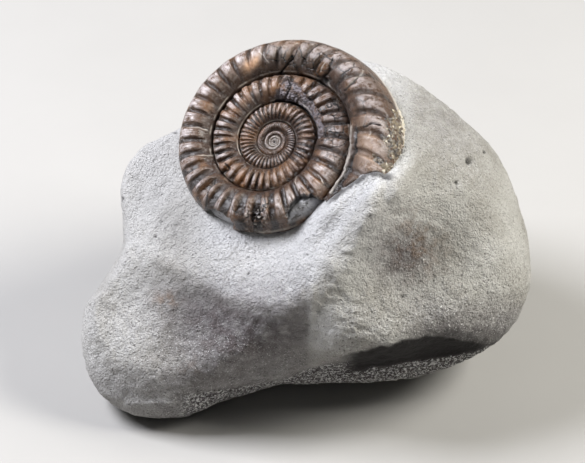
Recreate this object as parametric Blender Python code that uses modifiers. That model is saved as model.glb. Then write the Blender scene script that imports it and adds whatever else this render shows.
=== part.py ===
"""Ammonite fossil in its limestone nodule, modelled for Blender 4.5 in metres with +Z up.

Two pieces: the limestone nodule, standing on a flat worn patch, and the coiled ammonite, which lies
half out of the nodule's upper left slope in a socket of its own shape.

Both are described from the nodule's show face. That face looks forward (-Y) and up by FACE_TILT. On it,
x runs right, u runs up the face and v comes straight out of it.
"""

import math

import bmesh
import bpy
import numpy as np
from mathutils import Matrix, Vector

MM = 0.001

# ---- The show face and how the nodule stands ----
FACE_TILT = math.radians(40.0)
FACE_CENTRE = Vector((0.0, -4.35 * MM, 30.0 * MM))
BASE_DROP = 30.0  # from the face's centre straight down to the worn patch, mm

# ---- The nodule, in mm ----
# Its outline square on to the show face: (angle from +x towards +u in degrees, radius).
OUTLINE = [
    (0, 49.5), (12, 48.2), (27, 47.2), (42, 44.9), (57, 44.4), (72, 43.8), (84, 42.0), (100, 38.5),
    (122, 37.2), (139, 39.6), (150, 43.2), (160, 43.6), (171, 41.2), (179, 40.8), (187, 44.2),
    (195, 50.8), (204, 54.2), (215, 55.6), (223, 53.2), (232, 47.0), (241, 38.6), (255, 31.6),
    (275, 29.8), (292, 31.8), (310, 37.0), (325, 42.6), (338, 48.2), (350, 50.2),
]
FRONT_DEPTH = 33.0
BACK_DEPTH = 36.0
RINGS = 38  # from the middle of the show face to the middle of the back
MERIDIANS = 74
BED_DROP = 1.2  # of the slope that the shell lies on, below the shell's mid-plane
RIGHT_FACE = (25.7, 20.7, 15.4, -0.30, 0.08)  # its height at (x, u), and how fast it rises with x and with u
# Lines on the show face, as (x, u) or (x, size).
SHELF_EDGE = [(-60, 2), (-44, 1), (-31, -3), (-20, -9.5), (-9.5, -12.8), (-1, -12.4), (4, -9), (9, -4), (60, 0)]
SHELF_DROP = 5.0  # of the lower part, just past the shelf's edge
SHELF_FALL = 0.30  # how fast it drops away further down
SHELF_END = 3.0  # the x where the shelf dies out in the right face
LIP_CREST = [(-20, -9), (-8, -6), (-1.3, -2.6), (4.2, 3.2), (11.2, 9), (14.5, 12.6), (19, 15.6), (27, 17.5), (60, 20)]
LIP_HEIGHTS = [(-20, 0), (-8, 0.6), (-1, 1.8), (4, 3.4), (9, 6.4), (14.5, 9), (19, 6.6), (24, 3), (30, 0.6), (36, 0)]
LIP_WIDTHS = (6.0, 8.5)  # on the shell's side of the crest and on the other
UNDERCUT_TOP = [(-60, -33), (-10, -29), (0, -25), (9, -22.2), (21.6, -19.4), (30.6, -16.9), (39, -19.5), (60, -26)]
UNDERCUT_BAND = [(-60, 2), (0, 2.2), (9, 3.4), (21.6, 5.2), (30.6, 6), (39, 3), (60, 3)]
UNDERCUT_DEPTHS = [(-60, 0), (-16, 0), (0, 2.5), (9, 6), (21.6, 8), (32, 7), (40, 2), (46, 0), (60, 0)]
# Swellings and hollows: (middle, widths along and across, degrees turned, height).
SWELLINGS = [((-36.0, -16.0), (9.0, 13.0), 0.0, 3.0), ((26.0, -1.0), (10.0, 7.0), 20.0, -1.6)]
ROLL = 0.45  # height of the slow waves all over the front

# ---- The ammonite, in mm ----
SHELL_CENTRE = Vector((-6.9, 23.6, 13.0))  # x, u, v on the show face
SHELL_LEAN = math.radians(28.8)  # of the shell's flat side, towards the upper left of the show face
FIRST_WHORL_RADIUS = 3.12  # of the shell where the coarse model starts
GROWTH_PER_TURN = 1.80
TURNS = 4.055
# The shell isn't a perfect spiral: (turn, natural log of what its radius is multiplied by).
UNEVEN_GROWTH = [
    (-1.0, 0.0), (1.0, -0.05), (1.25, 0.01), (2.0, 0.0), (2.2, 0.03), (2.5, 0.0), (2.78, -0.065),
    (3.05, 0.04), (3.25, -0.03), (3.42, -0.10), (3.62, -0.20), (3.75, -0.235), (3.87, -0.20),
    (4.0, -0.12), (4.15, -0.10),
]
SEAM_SLOPE = 0.136  # height of a seam above the mid-plane over its radius
FLANK_BULGE = 0.165  # how far a whorl's flank stands above the line between its seams, over its radius
VENTER_BULGE = 0.03  # how far the outer edge swells past the last seam, over its radius
RIBS_PER_TURN = 36
RIB_HEIGHT = 0.032  # over the whorl's radius
ACROSS = (0.0, 0.16, 0.5, 0.84)  # where a whorl is measured between its inner and outer seam
DOWN_THE_EDGE = (0.62, 0.0)  # height on the outer edge, over the seam's height

SOCKET_GAP = 0.7  # between the ammonite and its socket, more than a rib stands out


def remove_everything():
    """Clears the startup scene."""
    for obj in list(bpy.data.objects):
        bpy.data.objects.remove(obj, do_unlink=True)


def smooth_through(points, at, period=None):
    """Catmull-Rom curve through (position, value) points, closed if a period is given."""
    xs = np.array([p[0] for p in points], float)
    ys = np.array([p[1] for p in points], float)
    if period:
        at = np.mod(at - xs[0], period) + xs[0]
        xs = np.concatenate([xs[-2:] - period, xs, xs[:2] + period])
        ys = np.concatenate([ys[-2:], ys, ys[:2]])
    slopes = np.gradient(ys, xs)
    i = np.clip(np.searchsorted(xs, at, side="right") - 1, 0, len(xs) - 2)
    span = xs[i + 1] - xs[i]
    f = np.clip((at - xs[i]) / span, 0.0, 1.0)
    return (
        (2 * f**3 - 3 * f**2 + 1) * ys[i]
        + (f**3 - 2 * f**2 + f) * span * slopes[i]
        + (3 * f**2 - 2 * f**3) * ys[i + 1]
        + (f**3 - f**2) * span * slopes[i + 1]
    )


def soft_least(a, b, blend):
    """The lesser of two heights, with the edge between them rounded over about the blend."""
    middle = np.minimum(a, b)
    return middle - blend * np.log(np.exp(-(a - middle) / blend) + np.exp(-(b - middle) / blend))


def soft_past(distance, blend):
    """Distance past an edge: nought before it, growing evenly after it, with a rounded start."""
    return blend * np.logaddexp(0.0, distance / blend)


def bell(x, u, centre, widths, turn=0.0):
    """A smooth round bump of height 1 at the centre, its widths along an axis turned by so many degrees."""
    c, s = math.cos(math.radians(turn)), math.sin(math.radians(turn))
    dx, du = x - centre[0], u - centre[1]
    return np.exp(-(((dx * c + du * s) / widths[0]) ** 2 + ((du * c - dx * s) / widths[1]) ** 2))


def step(x, edge, blend):
    """From 0 to 1 as x passes the edge."""
    return 1.0 / (1.0 + np.exp(-(x - edge) / blend))


def bed_height(x, u):
    """The slope that the ammonite lies on, just under the shell's mid-plane."""
    rise = math.tan(SHELL_LEAN) * math.sqrt(0.5)
    return SHELL_CENTRE.z - BED_DROP + rise * ((x - SHELL_CENTRE.x) - (u - SHELL_CENTRE.y))


def right_face_height(x, u):
    """The slope that falls away to the right of the ammonite."""
    height, at_x, at_u, along_x, along_u = RIGHT_FACE
    return height + along_x * (x - at_x) + along_u * (u - at_u)


def lip_height(x, u):
    """The rounded ridge of rock that laps over the shell's mouth, above the slope the shell lies on."""
    off = (u - smooth_through(LIP_CREST, x)) * math.cos(math.radians(40.0))
    width = np.where(off > 0.0, *LIP_WIDTHS)
    return smooth_through(LIP_HEIGHTS, x) * np.exp(-((off / width) ** 2))


def shelf_depth(x, u):
    """How far the rock drops below the shelf's edge: a quick step, then a slow fall."""
    past = smooth_through(SHELF_EDGE, x) - u
    drop = SHELF_DROP * (1.0 - np.exp(-soft_past(past, 0.8) / SHELF_DROP)) + SHELF_FALL * soft_past(past, 2.0)
    return drop * step(SHELF_END - x, 0.0, 1.6)


def undercut_depth(x, u):
    """How far the rock steps back under the right face, leaving a lower lip."""
    down = (smooth_through(UNDERCUT_TOP, x) - u) / smooth_through(UNDERCUT_BAND, x)
    f = np.clip(down, 0.0, 1.0)
    return smooth_through(UNDERCUT_DEPTHS, x) * f * f * (3.0 - 2.0 * f)


def front_height(x, u, share):
    """How far the front stands out of the show face. share is the place from the middle (0) to the outline (1)."""
    dome = FRONT_DEPTH * np.maximum(1.0 - share**2.3, 0.0) ** 0.55
    height = soft_least(soft_least(bed_height(x, u), right_face_height(x, u), 1.0), dome, 1.6)
    relief = lip_height(x, u) - shelf_depth(x, u)
    for middle, widths, turn, swelling in SWELLINGS:
        relief += swelling * bell(x, u, middle, widths, turn)
    relief += ROLL * (np.sin(0.31 * x + 0.9) * np.cos(0.27 * u) + np.sin(0.17 * x - 0.23 * u))
    return height + (1.0 - share**6) * relief - (1.0 - share**12) * undercut_depth(x, u)


def back_height(share):
    """How far the back stands behind the show face."""
    return -BACK_DEPTH * np.maximum(1.0 - share**2.4, 0.0) ** 0.5


def nodule_points(direction):
    """Moves unit directions (x, u, v) onto the nodule: the outline's radius times the direction's own, and a height."""
    around = np.degrees(np.arctan2(direction[:, 1], direction[:, 0]))
    share = np.minimum(np.hypot(direction[:, 0], direction[:, 1]), 1.0)
    radius = smooth_through(OUTLINE, around, 360.0) * share
    x, u = radius * np.cos(np.radians(around)), radius * np.sin(np.radians(around))
    v = np.where(direction[:, 2] >= 0.0, front_height(x, u, share), back_height(share))
    return np.stack([x, u, v], axis=1)


def face_frame():
    """The show face as a matrix: its x, u and v axes in the row frame, and its centre."""
    turn = Matrix.Rotation(math.pi / 2 - FACE_TILT, 4, "X")
    return Matrix.Translation(FACE_CENTRE) @ turn


def make_object(name, bm, collection, material=None):
    """A new mesh object from a bmesh, in its collection."""
    mesh = bpy.data.meshes.new(name)
    bm.to_mesh(mesh)
    bm.free()
    mesh.shade_smooth()
    obj = bpy.data.objects.new(name, mesh)
    collection.objects.link(obj)
    if material:
        mesh.materials.append(material)
    return obj


def make_material(name, colour, roughness):
    """A plain Principled material."""
    material = bpy.data.materials.new(name)
    material.use_nodes = True
    shader = material.node_tree.nodes["Principled BSDF"]
    shader.inputs["Base Color"].default_value = (*colour, 1.0)
    shader.inputs["Roughness"].default_value = roughness
    return material


def build_nodule(collection):
    """The nodule: a ball pulled out to the outline and the heights, then cut flat where it stands."""
    bm = bmesh.new()
    bmesh.ops.create_uvsphere(bm, u_segments=MERIDIANS, v_segments=RINGS, radius=1.0)
    directions = np.array([v.co for v in bm.verts])
    for vert, place in zip(bm.verts, nodule_points(directions)):
        vert.co = Vector(place) * MM
    bm.transform(face_frame())
    everything = bm.verts[:] + bm.edges[:] + bm.faces[:]
    floor = Vector((0.0, 0.0, FACE_CENTRE.z - BASE_DROP * MM))
    cut = bmesh.ops.bisect_plane(
        bm, geom=everything, dist=1e-6, plane_co=floor, plane_no=(0, 0, -1), clear_outer=True
    )
    rim = [part for part in cut["geom_cut"] if isinstance(part, bmesh.types.BMEdge)]
    bmesh.ops.holes_fill(bm, edges=rim, sides=0)
    limestone = make_material("limestone", (0.46, 0.45, 0.43), 0.9)
    return make_object("limestone_nodule", bm, collection, limestone)


def shell_radius(turn):
    """Radius of a whorl's outer seam, in mm, at so many turns from the coarse model's first whorl."""
    return FIRST_WHORL_RADIUS * GROWTH_PER_TURN**turn * np.exp(smooth_through(UNEVEN_GROWTH, turn))


def whorl_section(turn, rib, gap, wider):
    """(radius, height) of the points across a whorl's upper half, from its inner seam out to the mid-plane.

    The height is the line between the two seams plus a rounded flank. rib is 1 on a rib's crest and -1
    in the hollow beside it. For the socket, gap raises every point and wider moves the outer edge out.
    """
    outer, inner = shell_radius(turn), shell_radius(turn - 1.0)
    points = []
    for across in ACROSS:
        flank = max(1.0 - abs(2.0 * across**0.85 - 1.0) ** 2.3, 0.0) ** 0.55
        height = SEAM_SLOPE * (inner + (outer - inner) * across)
        height += outer * flank * (FLANK_BULGE + RIB_HEIGHT * 0.5 * rib)
        points.append((inner + (outer - inner) * across, height + gap))
    seam = SEAM_SLOPE * outer
    points.append((outer + wider, seam + gap))
    for share in DOWN_THE_EDGE:
        swell = VENTER_BULGE * outer * math.sqrt(1.0 - share**2)
        points.append((outer + swell + wider, (seam + gap) * share))
    return points


def build_shell(name, collection, columns, ribbed, gap=0.0, material=None):
    """The coiled shell: a loft along the spiral, whose whorls share their seams, mirrored in the mid-plane.

    It isn't a swept tube, because each whorl's section takes its inner edge from the whorl before it.
    """
    bm = bmesh.new()
    last = round(TURNS * columns)
    seam_row = len(ACROSS)
    rows = []
    for i in range(last + 1):
        turn = i / columns
        rib = (1.0 if i % 2 else -1.0) if ribbed else 0.0
        past_mouth = 2.0 * gap / shell_radius(turn) if i == last else 0.0
        angle = -2.0 * math.pi * turn - past_mouth
        widened = 0.35 if i == last - columns else float(i > last - columns)
        section = whorl_section(turn, rib, gap, widened * gap)
        if i >= columns:
            section[0] = None  # the inner seam is the last whorl's outer one
        row = []
        for k, point in enumerate(section):
            if point is None:
                row.append(rows[i - columns][seam_row])
            elif k <= seam_row or i >= last - columns:
                radius, height = point
                row.append(bm.verts.new((radius * math.cos(angle), radius * math.sin(angle), height)))
        rows.append(row)
    for i in range(last):
        for k in range(min(len(rows[i]), len(rows[i + 1])) - 1):
            bm.faces.new((rows[i][k], rows[i + 1][k], rows[i + 1][k + 1], rows[i][k + 1]))
    apex = bm.verts.new((0.0, 0.0, SEAM_SLOPE * 0.5 * shell_radius(-1.0) + gap))
    inside = [rows[i][0] for i in range(columns + 1)] + rows[0][seam_row - 1 : 0 : -1]
    for a, b in zip(inside, inside[1:] + inside[:1]):
        bm.faces.new((apex, b, a))
    mouth = rows[last][:] + rows[last - columns][: seam_row : -1]
    bm.faces.new(reversed(mouth))
    bm.transform(Matrix.Scale(MM, 4))
    shell = make_object(name, bm, collection, material)
    mirror = shell.modifiers.new("other flank", "MIRROR")
    mirror.use_axis = (False, False, True)
    mirror.merge_threshold = 1e-5
    lean_axis = Vector((1.0, 1.0, 0.0))
    lean = Matrix.Rotation(-SHELL_LEAN, 4, lean_axis.normalized())
    shell.matrix_world = face_frame() @ Matrix.Translation(SHELL_CENTRE * MM) @ lean
    return shell


def main():
    """Builds the nodule with its socket, and the ammonite in it."""
    remove_everything()
    fossil = bpy.data.collections.new("ammonite_fossil")
    cutters = bpy.data.collections.new("cutters")
    for collection in (fossil, cutters):
        bpy.context.scene.collection.children.link(collection)
    nodule = build_nodule(fossil)
    calcite = make_material("shell_calcite", (0.16, 0.10, 0.07), 0.35)
    build_shell("ammonite", fossil, 2 * RIBS_PER_TURN, ribbed=True, material=calcite)
    socket = build_shell("socket_cutter", cutters, RIBS_PER_TURN, ribbed=False, gap=SOCKET_GAP)
    socket.hide_render = True
    socket.display_type = "WIRE"
    cut = nodule.modifiers.new("socket", "BOOLEAN")
    cut.operation = "DIFFERENCE"
    cut.object = socket


main()
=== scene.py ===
"""The looks of an ammonite fossil in its limestone nodule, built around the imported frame.

Everything is described from the nodule's show face, in millimetres: x runs right, u runs up the face and
v comes straight out of it. The shell has a frame of its own, whose z axis stands on the coil's flat side.
"""

import logging
import math
from dataclasses import dataclass, field
from enum import Enum, IntEnum

import bpy
import numpy as np
from mathutils import Matrix, Vector

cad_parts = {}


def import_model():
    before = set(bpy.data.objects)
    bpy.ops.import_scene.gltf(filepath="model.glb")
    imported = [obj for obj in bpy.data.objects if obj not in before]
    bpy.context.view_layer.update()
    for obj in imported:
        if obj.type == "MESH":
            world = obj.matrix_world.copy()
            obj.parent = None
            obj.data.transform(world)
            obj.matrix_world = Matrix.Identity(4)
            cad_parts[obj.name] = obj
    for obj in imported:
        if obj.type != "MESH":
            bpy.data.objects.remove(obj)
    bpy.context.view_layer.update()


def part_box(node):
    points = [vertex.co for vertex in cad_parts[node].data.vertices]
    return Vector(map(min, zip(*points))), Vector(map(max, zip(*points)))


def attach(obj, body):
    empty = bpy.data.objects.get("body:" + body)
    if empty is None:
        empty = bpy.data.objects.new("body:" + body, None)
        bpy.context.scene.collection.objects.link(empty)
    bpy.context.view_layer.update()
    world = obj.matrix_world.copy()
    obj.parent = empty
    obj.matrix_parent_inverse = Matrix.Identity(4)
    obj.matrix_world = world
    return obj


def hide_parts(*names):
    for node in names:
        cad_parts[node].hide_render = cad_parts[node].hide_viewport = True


MM = 0.001
Array = np.ndarray
Knots = tuple[tuple[float, float], ...]
Socket = bpy.types.NodeSocket
Tree = bpy.types.NodeTree
log = logging.getLogger("ammonite")


# ---- Curves and noise ----


def smooth_through(knots: Knots, at: Array, period: float = 0.0) -> Array:
    """Hermite curve through (position, value) knots, its slopes taken from the neighbours.

    Args:
        knots: the points, in order of position.
        at: positions to read the curve at.
        period: length after which the curve repeats, or 0.

    Returns:
        The values, held level past the ends.
    """
    xs, ys = (np.array(column, float) for column in zip(*knots))
    if period:
        at = np.mod(at - xs[0], period) + xs[0]
        xs = np.concatenate([xs[-2:] - period, xs, xs[:2] + period])
        ys = np.concatenate([ys[-2:], ys, ys[:2]])
    slopes = np.gradient(ys, xs)
    i = np.clip(np.searchsorted(xs, at, side="right") - 1, 0, len(xs) - 2)
    span = xs[i + 1] - xs[i]
    f = np.clip((at - xs[i]) / span, 0.0, 1.0)
    rise = (2 * f**3 - 3 * f**2 + 1) * ys[i] + (3 * f**2 - 2 * f**3) * ys[i + 1]
    return rise + span * ((f**3 - 2 * f**2 + f) * slopes[i] + (f**3 - f**2) * slopes[i + 1])


def ease(value: Array, start: float, end: float) -> Array:
    """From 0 at start to 1 at end along the curve 3f^2 - 2f^3."""
    f = np.clip((value - start) / (end - start), 0.0, 1.0)
    return f * f * (3.0 - 2.0 * f)


def hashed(cells: Array, seed: int) -> Array:
    """A number from 0 to 1 for each whole-number cell: the cell's coordinates mixed by odd multipliers.

    Args:
        cells: whole numbers, shape (..., 3).
        seed: which pattern.

    Returns:
        The numbers, shape (...).
    """
    c = cells.astype(np.int64)
    h = (c[..., 0] * 73856093) ^ (c[..., 1] * 19349663) ^ (c[..., 2] * 83492791) ^ (seed * 2654435761)
    h = (h ^ (h >> 13)) * 1274126177
    h = (h ^ (h >> 16)) & 0xFFFFFF
    return h / float(0xFFFFFF)


def noise(points: Array, size: float, seed: int, octaves: int = 1) -> Array:
    """Value noise from -1 to 1: random values on a lattice, eased between its corners, in halving octaves.

    Args:
        points: places in mm, shape (..., 3).
        size: lattice spacing in mm.
        seed: which pattern.
        octaves: how many finer layers are added, each half as wide and half as strong.

    Returns:
        The values, shape (...).
    """
    total = np.zeros(points.shape[:-1])
    for octave in range(octaves):
        at = points * (2.0**octave / size)
        cell = np.floor(at)
        f = at - cell
        f = f * f * (3.0 - 2.0 * f)
        layer = np.zeros_like(total)
        for corner in np.ndindex(2, 2, 2):
            weight = np.prod(np.where(corner, f, 1.0 - f), axis=-1)
            layer += weight * hashed(cell + np.array(corner), seed + octave)
        total += (2.0 * layer - 1.0) * 0.5**octave
    return total / (2.0 - 0.5 ** (octaves - 1))


def cells(points: Array, size: float, seed: int) -> tuple[Array, Array]:
    """Worley pattern: each lattice cell holds one seed point, and every place belongs to the nearest.

    Args:
        points: places in mm, shape (..., 3).
        size: lattice spacing in mm.
        seed: which pattern.

    Returns:
        The distance to the nearest seed point over size, and that seed point's own number from 0 to 1.
    """
    at = points / size
    base = np.floor(at)
    best = np.full(points.shape[:-1], 9.0)
    own = np.zeros_like(best)
    for offset in np.ndindex(3, 3, 3):
        cell = base + np.array(offset) - 1.0
        spot = cell + np.stack([hashed(cell, seed + k) for k in range(3)], axis=-1)
        gap = np.linalg.norm(at - spot, axis=-1)
        nearer = gap < best
        best = np.where(nearer, gap, best)
        own = np.where(nearer, hashed(cell, seed + 7), own)
    return best, own


def line_distance(x: Array, u: Array, line: Knots) -> Array:
    """Distance on the show face from each place to a line of straight stretches.

    Args:
        x, u: the places in mm.
        line: the ends of the stretches, in order.

    Returns:
        The distances in mm.
    """
    best = np.full(x.shape, 1e9)
    for (ax, au), (bx, bu) in zip(line, line[1:]):
        dx, du = bx - ax, bu - au
        f = np.clip(((x - ax) * dx + (u - au) * du) / (dx * dx + du * du), 0.0, 1.0)
        best = np.minimum(best, np.hypot(x - ax - f * dx, u - au - f * du))
    return best


def peak(off: Array, width: float | Array) -> Array:
    """exp(-(off / width)^2): 1 in the middle, and almost 0 at two widths to either side."""
    return np.exp(-((off / width) ** 2))


@dataclass(frozen=True)
class Spot:
    """A soft oval on the show face: its middle and half widths in mm, its turn in degrees, its strength."""

    x: float
    u: float
    wide: float
    high: float
    turn: float = 0.0
    strength: float = 1.0

    def on(self, x: Array, u: Array) -> Array:
        """The strength times exp(-d^2), d being the distance from the middle over the half widths.

        Args:
            x, u: places on the show face in mm.

        Returns:
            The value at each place.
        """
        c, s = math.cos(math.radians(self.turn)), math.sin(math.radians(self.turn))
        dx, du = x - self.x, u - self.u
        return self.strength * peak(dx * c + du * s, self.wide) * peak(du * c - dx * s, self.high)


def spots_on(x: Array, u: Array, spots: tuple[Spot, ...]) -> Array:
    """The sum of the spots at each place."""
    return sum(spot.on(x, u) for spot in spots)


# ---- Meshes from grids ----


def grid_normals(grid: Array) -> Array:
    """Unit normals of a grid of points: the cross product of its two central differences.

    Args:
        grid: points, shape (rows, columns, 3). The last column is next to the first.

    Returns:
        Normals, shape (rows, columns, 3).
    """
    along = np.gradient(grid, axis=0)
    normal = np.cross(along, np.roll(grid, -1, axis=1) - np.roll(grid, 1, axis=1))
    return normal / np.maximum(np.linalg.norm(normal, axis=-1, keepdims=True), 1e-9)


def ring_faces(rows: int, columns: int) -> list[list[int]]:
    """Faces of a closed body of rings: quads between rings, and a fan on each of the two end points.

    Args:
        rows: number of rings.
        columns: points in each ring.

    Returns:
        Vertex numbers: the rings first, ring by ring, then the two end points.
    """
    index = np.arange(rows * columns).reshape(rows, columns)
    right = np.roll(index, -1, axis=1)
    quads = np.stack([index[:-1], index[1:], right[1:], right[:-1]], axis=-1).reshape(-1, 4)
    first = np.full(columns, rows * columns)
    start = np.stack([first, index[0], right[0]], axis=-1)
    end = np.stack([first + 1, right[-1], index[-1]], axis=-1)
    return quads.tolist() + start.tolist() + end.tolist()


def ring_body(
    name: str, rings: Array, values: dict[str, Array], place: Matrix, ends: Array | None = None
) -> bpy.types.Object:
    """A closed body from rings of points, with a float attribute for each named value.

    Args:
        name: the piece's name.
        rings: points in mm, shape (rows, columns, 3).
        values: attribute name to its values, shape (rows, columns).
        place: from mm in the body's own frame to metres in the row frame.
        ends: the two end points in mm, shape (2, 3), or None for the middles of the first and last rings.

    Returns:
        The object, smooth-shaded, at the origin.
    """
    ends = rings[[0, -1]].mean(axis=1) if ends is None else ends
    matrix = np.array(place)
    points = np.concatenate([rings.reshape(-1, 3), ends]) @ matrix[:3, :3].T + matrix[:3, 3]
    points[:, 2] = np.maximum(points[:, 2], 0.0)
    mesh = bpy.data.meshes.new(name)
    mesh.from_pydata(points.tolist(), [], ring_faces(*rings.shape[:2]))
    for key, grid in values.items():
        data = np.concatenate([grid.ravel(), grid[[0, -1]].mean(axis=1)])
        mesh.attributes.new(key, "FLOAT", "POINT").data.foreach_set("value", data.astype(np.float32))
    mesh.shade_smooth()
    mesh.validate()
    piece = bpy.data.objects.new(name, mesh)
    bpy.context.scene.collection.objects.link(piece)
    return piece


# ---- Materials ----


def linear(hex_colour: str) -> tuple[float, float, float, float]:
    """Turns an sRGB colour to linear light.

    Args:
        hex_colour: such as "#8a7a70".

    Returns:
        Linear red, green, blue and alpha.
    """
    channels = [int(hex_colour[i : i + 2], 16) / 255.0 for i in (1, 3, 5)]
    flat = [c / 12.92 if c <= 0.04045 else ((c + 0.055) / 1.055) ** 2.4 for c in channels]
    return (*flat, 1.0)


def add_node(tree: Tree, kind: str, settings: dict | None = None, **links: Socket) -> bpy.types.Node:
    """Adds a node with its settings and links.

    Args:
        tree: the material's node tree.
        kind: the node's type name after "ShaderNode".
        settings: property or input name to its value; an input may be named by its number.
        links: input name, with _ for a space, or i and its number, to the output socket that feeds it.

    Returns:
        The node.
    """
    node = tree.nodes.new("ShaderNode" + kind)
    for key, value in (settings or {}).items():
        if isinstance(key, int) or key in node.inputs:
            node.inputs[key].default_value = value
        else:
            setattr(node, key, value)
    for key, socket in links.items():
        number = key[1:]
        tree.links.new(socket, node.inputs[int(number) if number.isdigit() else key.replace("_", " ")])
    return node


def new_tree(name: str) -> tuple[bpy.types.Material, Tree]:
    """Starts a material.

    Args:
        name: the material's name.

    Returns:
        The material and its emptied tree.
    """
    material = bpy.data.materials.new(name)
    material.use_nodes = True
    material.node_tree.nodes.clear()
    return material, material.node_tree


class Blend(Enum):
    """How one colour is laid over another."""

    MIX = "MIX"
    MULTIPLY = "MULTIPLY"


@dataclass(frozen=True)
class Mask:
    """Where a layer lies: a pattern or one of the mesh's own values, eased from 0 at low to 1 at high."""

    source: Socket
    low: float = 0.0
    high: float = 1.0


@dataclass(frozen=True)
class Layer:
    """One colour over what is under it, where all its masks say, and so strongly."""

    colour: str
    masks: tuple[Mask, ...]
    strength: float = 1.0
    blend: Blend = Blend.MIX


def masked(tree: Tree, masks: tuple[Mask, ...], strength: float = 1.0) -> Socket:
    """The product of the masks and the strength. A mask from 0 to 1 is taken as it is.

    Args:
        tree: the material's node tree.
        masks: one or more masks.
        strength: what the product is multiplied by.

    Returns:
        The socket that holds it.
    """
    product = {"operation": "MULTIPLY"}
    total = None
    for mask in masks:
        part = mask.source
        if (mask.low, mask.high) != (0.0, 1.0):
            limits = {"interpolation_type": "SMOOTHSTEP", 1: mask.low, 2: mask.high}
            part = add_node(tree, "MapRange", limits, Value=part).outputs[0]
        total = add_node(tree, "Math", product, i0=total, i1=part).outputs[0] if total else part
    if strength != 1.0:
        total = add_node(tree, "Math", {**product, 1: strength}, i0=total).outputs[0]
    return total


def layered(tree: Tree, base: str, layers: tuple[Layer, ...]) -> Socket:
    """The base colour with the layers over it, the first at the bottom.

    Args:
        tree: the material's node tree.
        base: the hex colour under them all.
        layers: what lies over it.

    Returns:
        The colour socket of the uppermost layer.
    """
    under = None
    for layer in layers:
        settings = {"data_type": "RGBA", "blend_type": layer.blend.value, 7: linear(layer.colour)}
        links = {"i0": masked(tree, layer.masks, layer.strength)}
        if under:
            links["i6"] = under
        else:
            settings[6] = linear(base)
        under = add_node(tree, "Mix", settings, **links).outputs[2]
    return under


def embossed(tree: Tree, *reliefs: tuple[Socket, float]) -> Socket:
    """The normal with each relief pressed into it in turn.

    Args:
        tree: the material's node tree.
        reliefs: a height from 0 to 1, and how many mm that is.

    Returns:
        The normal socket.
    """
    normal = None
    for height, depth in reliefs:
        links = {"Height": height, "Normal": normal} if normal else {"Height": height}
        normal = add_node(tree, "Bump", {"Distance": depth * MM}, **links).outputs[0]
    return normal


@dataclass(frozen=True)
class Grain:
    """A cloudy pattern: the size of its clouds in mm, its finer octaves and how strong they are."""

    size: float
    detail: float = 3.0
    rough: float = 0.55

    def settings(self) -> dict:
        """Returns: the noise's settings."""
        return {"Scale": 1.0 / (self.size * MM), "Detail": self.detail, "Roughness": self.rough}


@dataclass(frozen=True)
class Patterns:
    """The cloudy patterns and the mesh's own values that one material reads."""

    tree: Tree
    place: Socket
    grains: dict[str, Socket]
    own: dict[str, Socket]

    @classmethod
    def on(cls, tree: Tree, grains: dict[str, Grain], own: str = "") -> "Patterns":
        """Adds the patterns, all on Object coordinates, and the named values.

        Args:
            tree: the material's node tree.
            grains: each pattern's name and form.
            own: the names of the mesh's own values, apart by spaces.

        Returns:
            The patterns, to be read by name.
        """
        place = add_node(tree, "TexCoord").outputs["Object"]
        clouds = {
            name: add_node(tree, "TexNoise", grain.settings(), Vector=place).outputs["Fac"]
            for name, grain in grains.items()
        }
        values = {
            name: add_node(tree, "Attribute", {"attribute_name": name}).outputs["Fac"] for name in own.split()
        }
        return cls(tree, place, clouds, values)

    def __getitem__(self, name: str) -> Socket:
        """The pattern or value of that name."""
        return self.grains.get(name) or self.own[name]

    def mask(self, name: str, low: float = 0.0, high: float = 1.0) -> Mask:
        """A mask on the pattern or value of that name."""
        return Mask(self[name], low, high)


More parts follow.
